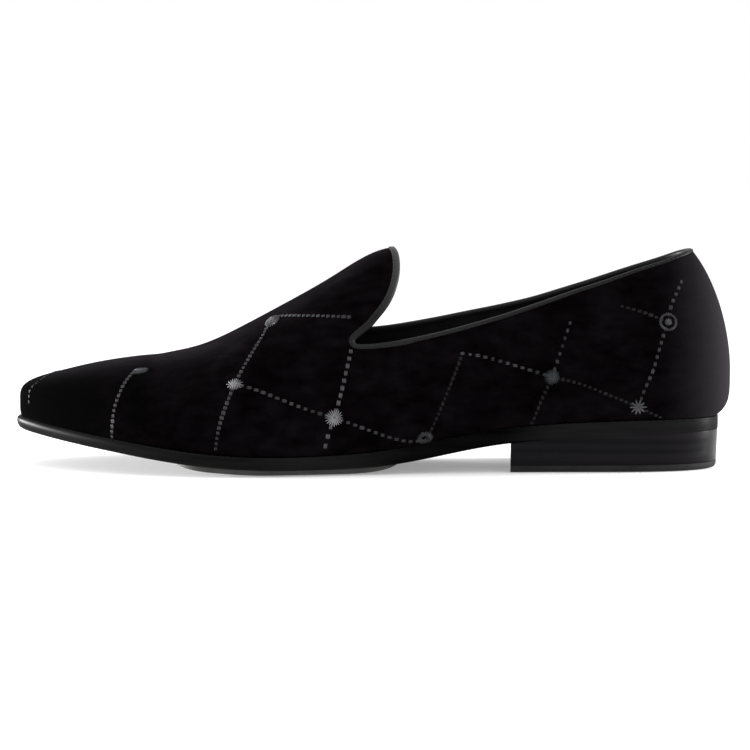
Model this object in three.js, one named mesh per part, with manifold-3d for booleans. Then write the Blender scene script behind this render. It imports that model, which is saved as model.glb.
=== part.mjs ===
// A velvet slipper loafer, the left shoe, in millimetres.
// +X points to the toe, +Y to the outer side and +Z up, with the floor at zero.
import * as THREE from "three";
import { mergeVertices } from "three/addons/utils/BufferGeometryUtils.js";
import Module from "manifold-3d";

const wasm = await Module();
wasm.setup();

// Driving sizes
const shoeLength = 301; // from the back of the counter to the tip of the sole
const ballWidth = 102; // widest breadth of the sole
const heelLift = 13.8; // rise of the sole's underside from ball to heel
const toeSpring = 13.1; // rise of the sole's underside from ball to tip
const soleThickness = 5.2; // at the ball
const instepRise = 80.4; // height of the vamp's ridge above the sole, under the tongue's end
const collarRise = 70.4; // height of the topline above the sole, at the back of the heel
const counterOverhang = 4.9; // how far the counter stands out behind the sole
const weltMargin = 2; // how far the sole stands out beyond the foot of the upper
const wall = 2.2; // velvet, stiffener and lining together
const collarLength = 157.4; // from the back of the counter to the notch beside the tongue
const notchRise = 32; // height of the outer notch above the heel seat
const medialLift = 4.2; // how much higher the notch is on the inner side
const notchRadius = 0.8;
const tongueLength = 18.6; // how far the tongue runs back from its notches
const bindingWidth = 2.5;
const bindingProud = 0.3; // how far the binding stands out from the wall on each face
const insoleThickness = 3;
const treadDepth = 2.4; // forefoot tread, below the sole
const treadFlat = 0.2; // what the floor flattens off the tread's curve
const treadSkive = 14; // length over which each end of the tread is pared thin
const treadLength = 89.8;
const treadFront = 70.9; // from the tip of the sole back to the tread
const treadInset = 6;
const treadCorner = 9;
const heelLength = 89.2; // from the back of the sole to the breast
const heelInset = 0.2;
const heelTaper = 0.5; // how much the heel block narrows towards the floor
const breastHollow = 3; // depth of the curve in the heel's breast
const breastSkew = 3.7; // how much shorter the heel is on the inner side
const liftThickness = 2.8;
const liftRound = 0.8; // how far the lift's lower edge rounds in
const edgeRound = 2.2; // how far the sole's edge rounds in
const gap = 0.3; // between pieces that lie against each other

// One row for each section of the last, from the back of the sole to its tip.
// at is a share of the sole's length; lateral, medial and spine of the ball width;
// lift of heelLift; spring of toeSpring; sole of the sole's thickness; instep of
// instepRise and ankle of collarRise, which together give the crown's height;
// margin of weltMargin; bulge of counterOverhang; edging of edgeRound; widest of the
// crown's height; fullness is the exponent of the section's rounding.
const sections = [
  { at: 0, lateral: 0, medial: 0, spine: 0, lift: 1, spring: 0, sole: 1.02, instep: 0, ankle: 1.12, margin: 0.25, bulge: 1.1, widest: 0.24, fullness: 1.8, edging: 0.15 },
  { at: 0.012, lateral: 0.15, medial: -0.15, spine: 0, lift: 0.995, spring: 0, sole: 1.04, instep: 0, ankle: 1.12, margin: 0.25, bulge: 1.04, widest: 0.24, fullness: 1.79, edging: 0.15 },
  { at: 0.045, lateral: 0.25, medial: -0.25, spine: 0, lift: 0.986, spring: 0, sole: 1.06, instep: 0, ankle: 1.12, margin: 0.25, bulge: 0.88, widest: 0.235, fullness: 1.78, edging: 0.15 },
  { at: 0.1, lateral: 0.309, medial: -0.307, spine: 0, lift: 0.964, spring: 0, sole: 1.09, instep: 0, ankle: 1.12, margin: 0.3, bulge: 0.67, widest: 0.22, fullness: 1.74, edging: 0.15 },
  { at: 0.17, lateral: 0.322, medial: -0.314, spine: 0, lift: 0.906, spring: 0, sole: 1.13, instep: 0.02, ankle: 1.13, margin: 0.4, bulge: 0.55, widest: 0.2, fullness: 1.76, edging: 0.15 },
  { at: 0.25, lateral: 0.324, medial: -0.299, spine: 0.002, lift: 0.804, spring: 0, sole: 1.17, instep: 0.16, ankle: 0.97, margin: 0.5, bulge: 0.51, widest: 0.18, fullness: 1.82, edging: 0.15 },
  { at: 0.33, lateral: 0.336, medial: -0.267, spine: 0.007, lift: 0.623, spring: 0, sole: 1.2, instep: 0.45, ankle: 0.62, margin: 0.55, bulge: 0.53, widest: 0.165, fullness: 1.9, edging: 0.75 },
  { at: 0.41, lateral: 0.366, medial: -0.257, spine: 0.015, lift: 0.29, spring: 0, sole: 1.24, instep: 0.8, ankle: 0.216, margin: 0.6, bulge: 0.52, widest: 0.155, fullness: 1.97, edging: 1 },
  { at: 0.48, lateral: 0.407, medial: -0.277, spine: 0.02, lift: 0.06, spring: 0, sole: 1.2, instep: 1.014, ankle: 0, margin: 0.7, bulge: 0.44, widest: 0.15, fullness: 2.02, edging: 1 },
  { at: 0.545, lateral: 0.454, medial: -0.324, spine: 0.015, lift: 0.01, spring: 0, sole: 1.08, instep: 0.887, ankle: 0, margin: 0.85, bulge: 0.37, widest: 0.155, fullness: 2.06, edging: 1 },
  { at: 0.61, lateral: 0.493, medial: -0.392, spine: 0, lift: 0, spring: 0, sole: 1.02, instep: 0.76, ankle: 0, margin: 0.95, bulge: 0.3, widest: 0.165, fullness: 2.1, edging: 1 },
  { at: 0.67, lateral: 0.51, medial: -0.451, spine: -0.015, lift: 0, spring: 0.039, sole: 1, instep: 0.637, ankle: 0, margin: 1, bulge: 0.26, widest: 0.18, fullness: 2.14, edging: 1 },
  { at: 0.73, lateral: 0.499, medial: -0.487, spine: -0.03, lift: 0, spring: 0.143, sole: 1, instep: 0.514, ankle: 0, margin: 1, bulge: 0.23, widest: 0.2, fullness: 2.2, edging: 1 },
  { at: 0.785, lateral: 0.461, medial: -0.49, spine: -0.045, lift: 0, spring: 0.3, sole: 1, instep: 0.442, ankle: 0, margin: 1, bulge: 0.21, widest: 0.225, fullness: 2.28, edging: 1 },
  { at: 0.84, lateral: 0.392, medial: -0.461, spine: -0.057, lift: 0, spring: 0.479, sole: 1, instep: 0.386, ankle: 0, margin: 1, bulge: 0.19, widest: 0.255, fullness: 2.4, edging: 1 },
  { at: 0.89, lateral: 0.304, medial: -0.405, spine: -0.065, lift: 0, spring: 0.636, sole: 1, instep: 0.33, ankle: 0, margin: 1, bulge: 0.16, widest: 0.285, fullness: 2.6, edging: 1 },
  { at: 0.935, lateral: 0.206, medial: -0.335, spine: -0.069, lift: 0, spring: 0.786, sole: 1, instep: 0.266, ankle: 0, margin: 1, bulge: 0.15, widest: 0.32, fullness: 2.95, edging: 1 },
  { at: 0.97, lateral: 0.11, medial: -0.26, spine: -0.069, lift: 0, spring: 0.907, sole: 1, instep: 0.215, ankle: 0, margin: 0.98, bulge: 0.14, widest: 0.36, fullness: 3.35, edging: 1 },
  { at: 0.993, lateral: 0.018, medial: -0.172, spine: -0.069, lift: 0, spring: 0.982, sole: 1, instep: 0.184, ankle: 0, margin: 0.95, bulge: 0.13, widest: 0.39, fullness: 3.65, edging: 1 },
  { at: 1, lateral: -0.069, medial: -0.069, spine: -0.069, lift: 0, spring: 1, sole: 1, instep: 0.174, ankle: 0, margin: 0.95, bulge: 0.13, widest: 0.4, fullness: 3.8, edging: 1 },
];
const last = sections.length - 1;

// The topline from the back of the heel to the notch: at is a share of collarLength,
// outer and inner are shares of the rise from the notch to the back of the topline.
const topline = [
  { at: 0.051, outer: 1.05, inner: 1.05 },
  { at: 0.112, outer: 0.99, inner: 0.99 },
  { at: 0.183, outer: 0.885, inner: 0.87 },
  { at: 0.267, outer: 0.78, inner: 0.742 },
  { at: 0.352, outer: 0.662, inner: 0.61 },
  { at: 0.439, outer: 0.546, inner: 0.484 },
  { at: 0.524, outer: 0.424, inner: 0.369 },
  { at: 0.609, outer: 0.308, inner: 0.285 },
  { at: 0.695, outer: 0.208, inner: 0.213 },
  { at: 0.782, outer: 0.116, inner: 0.137 },
  { at: 0.867, outer: 0.044, inner: 0.066 },
  { at: 0.924, outer: 0.009, inner: 0.025 },
  { at: 0.98, outer: -0.006, inner: 0 },
];

// The edge of the tongue above its notch: back is a share of tongueLength and up
// of the rise from the notch to the end of the tongue.
const tongueEdge = [
  { back: 0.11, up: 0.077 },
  { back: 0.242, up: 0.127 },
  { back: 0.386, up: 0.183 },
  { back: 0.525, up: 0.263 },
  { back: 0.662, up: 0.342 },
  { back: 0.795, up: 0.44 },
  { back: 0.884, up: 0.533 },
  { back: 0.96, up: 0.656 },
  { back: 0.99, up: 0.75 },
  { back: 0.994, up: 0.84 },
  { back: 0.978, up: 0.92 },
  { back: 0.942, up: 0.975 },
  { back: 0.89, up: 1.01 },
  { back: 0.8, up: 1.2 },
];

// The sole's edge from underside to top: inset is a share of edgeRound, up of the thickness.
const soleEdge = [
  { inset: 1, up: 0 },
  { inset: 0.42, up: 0.14 },
  { inset: 0.08, up: 0.4 },
  { inset: 0, up: 0.64 },
  { inset: 0.12, up: 0.86 },
  { inset: 0.36, up: 1 },
];

const soleBack = counterOverhang - shoeLength / 2;
const soleTip = shoeLength / 2;
const soleLength = soleTip - soleBack;
const toeCentre = 0.06 * shoeLength; // from the tip to where the toe's sections meet
const heelCentre = 0.091 * shoeLength; // the same from the back of the sole
const fanShare = 0.12; // share of a slab's length over which its end sections meet
const sideLine = 0.31 * ballWidth; // where the topline's two heights are taken
const tuck = 5; // exponent of the wall's turn in towards the sole
const skivedShare = 0.45; // what the paring takes off the tread at its very ends
const stepsPerSection = 2;
const treadSteps = 16;
const heelSteps = 16;
const wallTurns = [-1, -0.8, -0.45, 0, 0.14, 0.28, 0.42, 0.56, 0.7, 0.85, 1];

// A smooth curve through evenly numbered values, at the fractional place given.
function smooth(valueAt, place) {
  const row = Math.floor(place);
  const t = place - row;
  const control = (i) => valueAt(i) - (valueAt(i - 1) - 2 * valueAt(i) + valueAt(i + 1)) / 6;
  const weights = [
    (1 - t) ** 3 / 6,
    (3 * t ** 3 - 6 * t ** 2 + 4) / 6,
    (-3 * t ** 3 + 3 * t ** 2 + 3 * t + 1) / 6,
    t ** 3 / 6,
  ];
  return weights.reduce((sum, weight, i) => sum + weight * control(row - 1 + i), 0);
}

// A column of the section table. Past the heel or the tip the rows run back, on the other side.
function column(name, otherName = name) {
  return (place) =>
    smooth((i) => {
      if (i < 0) return sections[-i][otherName];
      if (i > last) return sections[2 * last - i][otherName];
      return sections[i][name];
    }, place);
}

const share = {
  at: column("at"),
  outer: column("lateral", "medial"),
  inner: column("medial", "lateral"),
  spine: column("spine"),
  lift: column("lift"),
  spring: column("spring"),
  sole: column("sole"),
  instep: column("instep"),
  ankle: column("ankle"),
  margin: column("margin"),
  bulge: column("bulge"),
  widest: column("widest"),
  fullness: column("fullness"),
  edging: column("edging"),
};

const lengthAt = (place) => soleBack + soleLength * share.at(place);

// The place in the section table whose section stands at x.
function placeOf(x) {
  let low = 0;
  let high = last;
  for (let step = 0; step < 40; step++) {
    const middle = (low + high) / 2;
    if (lengthAt(middle) < x) low = middle;
    else high = middle;
  }
  return (low + high) / 2;
}

const undersideOf = (place) =>
  treadDepth - treadFlat + heelLift * share.lift(place) + toeSpring * share.spring(place);
const soleTopOf = (place) => undersideOf(place) + soleThickness * share.sole(place);
const crownOf = (place) => instepRise * share.instep(place) + collarRise * share.ankle(place);
const underside = (x) => undersideOf(placeOf(x));
const soleTop = (x) => soleTopOf(placeOf(x));

// The outline of the sole in plan, moved in by inset, with its outward direction.
function outline(place, side, inset = 0) {
  const along = side > 0 ? share.outer : share.inner;
  const point = (p) => new THREE.Vector2(lengthAt(p), ballWidth * along(p));
  const tangent = point(place + 0.01).sub(point(place - 0.01)).normalize();
  const outward = new THREE.Vector2(-tangent.y, tangent.x).multiplyScalar(side);
  return { point: point(place).addScaledVector(outward, -inset), outward };
}

// The line down the middle of the last. Towards heel and toe it stops short, at the
// centres round which the end sections turn.
function spine(x) {
  const toe = Math.max(0, (x - soleTip) / (2 * toeCentre) + 1);
  const heel = Math.max(0, (soleBack - x) / (2 * heelCentre) + 1);
  const along = x - toeCentre * toe ** 2 + heelCentre * heel ** 2;
  return new THREE.Vector2(along, ballWidth * share.spine(placeOf(along)));
}

// A point of the upper's wall. turn runs from -1 at the sole to 0 at the widest line
// and 1 at the crown; inset moves the wall in.
function wallPoint(place, side, turn, inset) {
  const foot = outline(place, side, weltMargin * share.margin(place) + inset);
  const bulge = counterOverhang * share.bulge(place);
  const widest = share.widest(place);
  const plan = foot.point;
  let level = widest * (1 + turn);
  if (turn <= 0) {
    plan.addScaledVector(foot.outward, bulge * (1 - Math.abs(turn) ** tuck));
  } else {
    const angle = (turn * Math.PI) / 2;
    const n = share.fullness(place);
    const reach = (Math.cos(angle) ** n + Math.sin(angle) ** n) ** (-1 / n);
    plan.addScaledVector(foot.outward, bulge);
    plan.lerp(spine(lengthAt(place)), turn === 1 ? 1 : 1 - reach * Math.cos(angle));
    level = widest + (1 - widest) * reach * Math.sin(angle);
  }
  const here = placeOf(plan.x);
  const rise = crownOf(here) - inset;
  return new THREE.Vector3(plan.x, plan.y, soleTopOf(here) + gap + rise * level);
}

// A ring of points round the last, from the back along the outer side to the tip and home.
function ring(pointAt) {
  const steps = last * stepsPerSection;
  const outer = [];
  const inner = [];
  for (let i = 0; i <= steps; i++) outer.push(pointAt(i / stepsPerSection, 1));
  for (let i = steps - 1; i > 0; i--) inner.push(pointAt(i / stepsPerSection, -1));
  return outer.concat(inner);
}

// Turns a closed shell of quads and triangles into a geometry with its faces outwards.
function closedGeometry(points, triangles) {
  let geometry = new THREE.BufferGeometry().setFromPoints(points);
  geometry.setIndex(triangles);
  geometry = mergeVertices(geometry, 1e-4);
  const index = geometry.index.array;
  const at = geometry.attributes.position;
  const kept = [];
  const [a, b, c] = [0, 1, 2].map(() => new THREE.Vector3());
  let volume = 0;
  for (let i = 0; i < index.length; i += 3) {
    const corner = [index[i], index[i + 1], index[i + 2]];
    if (new Set(corner).size < 3) continue;
    kept.push(...corner);
    a.fromBufferAttribute(at, corner[0]);
    b.fromBufferAttribute(at, corner[1]);
    c.fromBufferAttribute(at, corner[2]);
    volume += a.dot(b.clone().cross(c));
  }
  if (volume < 0) kept.reverse();
  geometry.setIndex(kept);
  return geometry;
}

// Joins rings of equal length into one skin. The first and last rings lie along a
// middle line, where their two sides meet, or else the last joins the first.
function skin(rings, joinEnds = false) {
  const around = rings[0].length;
  const triangles = [];
  const bands = joinEnds ? rings.length : rings.length - 1;
  for (let r = 0; r < bands; r++) {
    const from = r * around;
    const to = ((r + 1) % rings.length) * around;
    for (let i = 0; i < around; i++) {
      const j = (i + 1) % around;
      triangles.push(from + i, from + j, to + j, from + i, to + j, to + i);
    }
  }
  return closedGeometry(rings.flat(), triangles);
}

// A slab between two surfaces, with a rounded or straight edge. loop gives the outline at
// each inset; edge lists the side's steps; floor and roof give heights for a length.
function slab(loop, edge, floor, roof) {
  const [low, high] = [edge[0], edge[edge.length - 1]];
  const rings = [];
  const inward = (inset, part, height) => {
    const outer = loop(inset);
    return outer.map((point) => {
      const plan = point.clone().lerp(middleOf(outer, point), part);
      return new THREE.Vector3(plan.x, plan.y, height(plan.x));
    });
  };
  rings.push(inward(low.inset, 1, floor), inward(low.inset, 0.5, floor));
  for (const step of edge) {
    const height = (x) => floor(x) + (roof(x) - floor(x)) * step.up;
    rings.push(inward(step.inset, 0, height));
  }
  rings.push(inward(high.inset, 0.5, roof), inward(high.inset, 1, roof));
  return skin(rings);
}

// Where a point of a loop meets the loop's middle line, which stops short of both ends.
function middleOf(loop, point) {
  const partner = loop[(loop.length - loop.indexOf(point)) % loop.length];
  const middle = point.clone().add(partner).multiplyScalar(0.5);
  const [back, front] = [loop[0].x, loop[loop.length / 2].x];
  const fan = fanShare * (front - back);
  const ahead = Math.max(0, (middle.x - front) / (2 * fan) + 1);
  const behind = Math.max(0, (back - middle.x) / (2 * fan) + 1);
  middle.x += fan * (behind ** 2 - ahead ** 2);
  return middle;
}

function solidOf(geometry) {
  const merged = mergeVertices(geometry, 1e-4);
  const vertProperties = merged.attributes.position.array;
  const triVerts = new Uint32Array(merged.index.array);
  return new wasm.Manifold(new wasm.Mesh({ numProp: 3, vertProperties, triVerts }));
}

function geometryOf(solid) {
  const { vertProperties, triVerts } = solid.getMesh();
  return new THREE.BufferGeometry()
    .setAttribute("position", new THREE.BufferAttribute(vertProperties, 3))
    .setIndex(new THREE.BufferAttribute(triVerts, 1));
}

// The upper's wall as a hollow shell with its whole crown still on, from one inset to another.
function lastShell(outerInset, innerInset) {
  const outer = wallTurns.map((turn) => ring((p, side) => wallPoint(p, side, turn, outerInset)));
  const inner = wallTurns.map((turn) => ring((p, side) => wallPoint(p, side, turn, innerInset)));
  return solidOf(skin(outer.concat(inner.reverse()), true));
}

// The edge of the opening seen from one side, moved out by offset: the topline forward
// to the notch, round it, and up the edge of the tongue.
function openingEdge(side, offset) {
  const seat = soleTop(soleBack);
  const notch = new THREE.Vector2(collarLength - shoeLength / 2, seat + notchRise);
  if (side < 0) notch.y += medialLift;
  const backRise = seat + collarRise - notch.y;
  const tongueEnd = crownOf(placeOf(notch.x - tongueLength)) + soleTop(notch.x - tongueLength);
  const tongueRise = tongueEnd - notch.y;
  const path = topline.map(
    (row) =>
      new THREE.Vector2(
        row.at * collarLength - shoeLength / 2,
        notch.y + backRise * (side > 0 ? row.outer : row.inner),
      ),
  );
  const turnCentre = new THREE.Vector2(notch.x - notchRadius, notch.y + notchRadius);
  for (const degrees of [-75, -35, 0, 40]) {
    const angle = THREE.MathUtils.degToRad(degrees);
    const round = new THREE.Vector2(Math.cos(angle), Math.sin(angle)).multiplyScalar(notchRadius);
    path.push(round.add(turnCentre));
  }
  for (const row of tongueEdge) {
    path.push(new THREE.Vector2(notch.x - row.back * tongueLength, notch.y + row.up * tongueRise));
  }
  return path.map((point, i) => {
    const before = path[Math.max(0, i - 1)];
    const after = path[Math.min(path.length - 1, i + 1)];
    const along = after.clone().sub(before).normalize();
    return new THREE.Vector2(along.y, -along.x).multiplyScalar(offset).add(point);
  });
}

// What is cut away to open the collar and throat. The two sides differ in height, so
// the block changes from one to the other between the walls.
function openingBlock(offset) {
  const above = soleTop(soleBack) + 2 * Math.max(collarRise, instepRise);
  const behind = -shoeLength;
  const face = (side) => {
    const edge = openingEdge(side, offset);
    const first = edge[0];
    const final = edge[edge.length - 1];
    const start = new THREE.Vector2(behind, first.y);
    return [start, ...edge, new THREE.Vector2(final.x, above), new THREE.Vector2(behind, above)];
  };
  const [outerFace, innerFace] = [face(1), face(-1)];
  const layers = [
    { y: ballWidth, points: outerFace },
    { y: sideLine, points: outerFace },
    { y: -sideLine, points: innerFace },
    { y: -ballWidth, points: innerFace },
  ];
  const count = outerFace.length;
  const points = layers.flatMap(({ y, points: plane }) =>
    plane.map((point) => new THREE.Vector3(point.x, y, point.y)),
  );
  const triangles = [];
  for (let layer = 0; layer < layers.length - 1; layer++) {
    for (let i = 0; i < count; i++) {
      const j = (i + 1) % count;
      const from = layer * count;
      triangles.push(from + i, from + j, from + count + j);
      triangles.push(from + i, from + count + j, from + count + i);
    }
  }
  const lastLayer = (layers.length - 1) * count;
  for (const [a, b, c] of THREE.ShapeUtils.triangulateShape(outerFace, [])) {
    triangles.push(c, b, a);
  }
  for (const [a, b, c] of THREE.ShapeUtils.triangulateShape(innerFace, [])) {
    triangles.push(lastLayer + a, lastLayer + b, lastLayer + c);
  }
  return solidOf(closedGeometry(points, triangles));
}

function makeUpper() {
  return geometryOf(lastShell(0, wall).subtract(openingBlock(bindingWidth + gap)));
}

function makeBinding() {
  const band = openingBlock(bindingWidth).subtract(openingBlock(0));
  return geometryOf(lastShell(-bindingProud, wall + bindingProud).intersect(band));
}

const straightEdge = [
  { inset: 0, up: 0 },
  { inset: 0, up: 1 },
];

function makeInsole() {
  const loop = () =>
    ring((p, side) => outline(p, side, weltMargin * share.margin(p) + wall + gap).point);
  return slab(loop, straightEdge, (x) => soleTop(x) + gap, (x) => soleTop(x) + gap + insoleThickness);
}

function makeOutsole() {
  const edgeInset = (p) => edgeRound * Math.max(0, share.edging(p));
  const loop = (inset) => ring((p, side) => outline(p, side, inset * edgeInset(p)).point);
  return slab(loop, soleEdge, underside, soleTop);
}

// The tread follows the sole's outline, with rounded corners and pared ends.
function makeTread() {
  const front = soleTip - treadFront;
  const back = front - treadLength;
  const corner = (x) => {
    const fromEnd = Math.min(x - back, front - x);
    const inside = Math.max(0, treadCorner - fromEnd);
    return treadCorner - Math.sqrt(Math.max(0, treadCorner ** 2 - inside ** 2));
  };
  const loop = () => {
    const outer = [];
    const inner = [];
    for (let i = 0; i <= treadSteps; i++) {
      const x = back + ((front - back) * (1 - Math.cos((Math.PI * i) / treadSteps))) / 2;
      const narrowing = treadInset + corner(x);
      const place = placeOf(x);
      outer.push(new THREE.Vector2(x, ballWidth * share.outer(place) - narrowing));
      inner.push(new THREE.Vector2(x, ballWidth * share.inner(place) + narrowing));
    }
    const backMiddle = outer[0].clone().lerp(inner[0], 0.5);
    const frontMiddle = outer[outer.length - 1].clone().lerp(inner[inner.length - 1], 0.5);
    return [backMiddle, ...outer, frontMiddle, ...inner.reverse()];
  };
  const floor = (x) => {
    const fromEnd = Math.min(x - back, front - x, treadSkive);
    const depth = treadDepth * (1 - skivedShare * (1 - fromEnd / treadSkive) ** 2);
    return Math.max(0, underside(x) - depth);
  };
  return slab(loop, straightEdge, floor, (x) => underside(x) - gap);
}

// The heel's outline: round the back of the sole, and across the hollow breast.
function heelLoop(inset) {
  const outerBreast = placeOf(soleBack + heelLength);
  const innerBreast = placeOf(soleBack + heelLength - breastSkew);
  const outer = [];
  const inner = [];
  for (let i = 0; i <= heelSteps; i++) {
    const part = i / heelSteps;
    outer.push(outline(outerBreast * part, 1, heelInset + inset).point);
    inner.push(outline(innerBreast * part, -1, heelInset + inset).point);
  }
  const corners = [outer[heelSteps], inner[heelSteps]];
  const across = (part) => {
    const point = corners[0].clone().lerp(corners[1], part);
    point.x -= breastHollow * (1 - (2 * part - 1) ** 2);
    return point;
  };
  const breast = [0.14, 0.28, 0.4, 0.5, 0.6, 0.72, 0.86].map(across);
  return [...outer, ...breast, ...inner.slice(1).reverse()];
}

function makeHeelBlock() {
  const edge = [
    { inset: heelTaper, up: 0 },
    { inset: 0, up: 1 },
  ];
  return slab(heelLoop, edge, () => liftThickness + gap, (x) => underside(x) - gap);
}

function makeTopLift() {
  const edge = [
    { inset: heelTaper + liftRound, up: 0 },
    { inset: heelTaper + 0.2 * liftRound, up: 0.25 },
    { inset: heelTaper, up: 0.6 },
    { inset: heelTaper, up: 1 },
  ];
  return slab(heelLoop, edge, () => 0, () => liftThickness);
}

const velvet = { color: 0x08080a, roughness: 0.95, metalness: 0 };
const satin = { color: 0x2a2a2c, roughness: 0.5, metalness: 0 };
const lining = { color: 0x111112, roughness: 0.7, metalness: 0 };
const soleBlack = { color: 0x141416, roughness: 0.35, metalness: 0 };
const rubber = { color: 0x2b2b2c, roughness: 0.8, metalness: 0 };

const pieces = [
  { name: "upper", make: makeUpper, finish: velvet },
  { name: "collar_binding", make: makeBinding, finish: satin },
  { name: "insole", make: makeInsole, finish: lining },
  { name: "outsole", make: makeOutsole, finish: soleBlack },
  { name: "forefoot_tread", make: makeTread, finish: rubber },
  { name: "heel_block", make: makeHeelBlock, finish: soleBlack },
  { name: "top_lift", make: makeTopLift, finish: rubber },
];

const shoe = new THREE.Group();
for (const { name, make, finish } of pieces) {
  const mesh = new THREE.Mesh(make(), new THREE.MeshStandardMaterial(finish));
  mesh.name = name;
  shoe.add(mesh);
}

// The shoe's own frame has its origin on the floor, under the middle of its box.
new THREE.Box3().setFromObject(shoe).getCenter(shoe.position).negate();
shoe.position.z = 0;

export default shoe;
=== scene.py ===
import math

import bmesh
import bpy
import numpy as np
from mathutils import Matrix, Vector
from mathutils.bvhtree import BVHTree


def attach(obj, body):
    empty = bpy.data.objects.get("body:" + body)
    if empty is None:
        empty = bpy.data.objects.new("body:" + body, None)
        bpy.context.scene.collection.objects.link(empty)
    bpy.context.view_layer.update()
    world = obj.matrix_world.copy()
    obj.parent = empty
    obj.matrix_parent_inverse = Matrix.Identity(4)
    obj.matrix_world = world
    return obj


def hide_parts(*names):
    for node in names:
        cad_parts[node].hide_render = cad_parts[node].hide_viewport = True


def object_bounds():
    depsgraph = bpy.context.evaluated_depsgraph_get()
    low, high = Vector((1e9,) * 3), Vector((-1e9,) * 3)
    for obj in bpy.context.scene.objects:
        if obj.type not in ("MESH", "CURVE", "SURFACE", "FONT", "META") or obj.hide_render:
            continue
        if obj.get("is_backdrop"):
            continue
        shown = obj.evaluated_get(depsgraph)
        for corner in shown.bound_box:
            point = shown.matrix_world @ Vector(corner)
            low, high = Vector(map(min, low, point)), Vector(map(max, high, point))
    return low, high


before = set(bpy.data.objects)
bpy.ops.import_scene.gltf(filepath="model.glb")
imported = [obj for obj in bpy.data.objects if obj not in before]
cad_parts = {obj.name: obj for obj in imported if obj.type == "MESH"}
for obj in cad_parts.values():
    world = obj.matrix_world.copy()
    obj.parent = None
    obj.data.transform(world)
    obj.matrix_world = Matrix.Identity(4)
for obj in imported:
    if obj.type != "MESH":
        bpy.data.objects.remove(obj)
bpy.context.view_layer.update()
scene = bpy.context.scene
tiny = 1e-9
farAway = 1e9
weldDistance = 2e-6  # m
print("solids loaded")

last = {  # mm, the same sizes as the solids
    "shoeLength": 301,
    "ballWidth": 102,
    "heelLift": 13.8,
    "toeSpring": 13.1,
    "soleThickness": 5.2,
    "instepRise": 80.4,
    "collarRise": 70.4,
    "counterOverhang": 4.9,
    "weltMargin": 2,
    "wall": 2.2,
    "tuck": 5,
    "gap": 0.3,
    "treadDepth": 2.4,
    "treadFlat": 0.2,
    "toeCentre": 18.06,
    "heelCentre": 27.39,
    "toFrame": (-0.0488, -0.8821, 0),  # moves the last into the solids' frame
}
lastRows = {  # one value for each section, from the back of the sole to its tip
    "at": [0, 0.012, 0.045, 0.1, 0.17, 0.25, 0.33, 0.41, 0.48, 0.545,
           0.61, 0.67, 0.73, 0.785, 0.84, 0.89, 0.935, 0.97, 0.993, 1],
    "lateral": [0, 0.15, 0.25, 0.309, 0.322, 0.324, 0.336, 0.366, 0.407, 0.454,
                0.493, 0.51, 0.499, 0.461, 0.392, 0.304, 0.206, 0.11, 0.018, -0.069],
    "medial": [0, -0.15, -0.25, -0.307, -0.314, -0.299, -0.267, -0.257, -0.277, -0.324,
               -0.392, -0.451, -0.487, -0.49, -0.461, -0.405, -0.335, -0.26, -0.172, -0.069],
    "spine": [0, 0, 0, 0, 0, 0.002, 0.007, 0.015, 0.02, 0.015,
              0, -0.015, -0.03, -0.045, -0.057, -0.065, -0.069, -0.069, -0.069, -0.069],
    "lift": [1, 0.995, 0.986, 0.964, 0.906, 0.804, 0.623, 0.29, 0.06, 0.01,
             0, 0, 0, 0, 0, 0, 0, 0, 0, 0],
    "spring": [0, 0, 0, 0, 0, 0, 0, 0, 0, 0,
               0, 0.039, 0.143, 0.3, 0.479, 0.636, 0.786, 0.907, 0.982, 1],
    "sole": [1.02, 1.04, 1.06, 1.09, 1.13, 1.17, 1.2, 1.24, 1.2, 1.08,
             1.02, 1, 1, 1, 1, 1, 1, 1, 1, 1],
    "instep": [0, 0, 0, 0, 0.02, 0.16, 0.45, 0.8, 1.014, 0.887,
               0.76, 0.637, 0.514, 0.442, 0.386, 0.33, 0.266, 0.215, 0.184, 0.174],
    "ankle": [1.12, 1.12, 1.12, 1.12, 1.13, 0.97, 0.62, 0.216, 0, 0,
              0, 0, 0, 0, 0, 0, 0, 0, 0, 0],
    "margin": [0.25, 0.25, 0.25, 0.3, 0.4, 0.5, 0.55, 0.6, 0.7, 0.85,
               0.95, 1, 1, 1, 1, 1, 1, 0.98, 0.95, 0.95],
    "bulge": [1.1, 1.04, 0.88, 0.67, 0.55, 0.51, 0.53, 0.52, 0.44, 0.37,
              0.3, 0.26, 0.23, 0.21, 0.19, 0.16, 0.15, 0.14, 0.13, 0.13],
    "widest": [0.24, 0.24, 0.235, 0.22, 0.2, 0.18, 0.165, 0.155, 0.15, 0.155,
               0.165, 0.18, 0.2, 0.225, 0.255, 0.285, 0.32, 0.36, 0.39, 0.4],
    "fullness": [1.8, 1.79, 1.78, 1.74, 1.76, 1.82, 1.9, 1.97, 2.02, 2.06,
                 2.1, 2.14, 2.2, 2.28, 2.4, 2.6, 2.95, 3.35, 3.65, 3.8],
    "edging": [0.04, 0.04, 0.04, 0.04, 0.04, 0.1, 0.75, 1, 1, 1,
               1, 1, 1, 1, 1, 1, 1, 1, 1, 1],
}
lastRow = len(lastRows["at"]) - 1
soleBack = last["counterOverhang"] - last["shoeLength"] / 2
soleTip = last["shoeLength"] / 2


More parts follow.
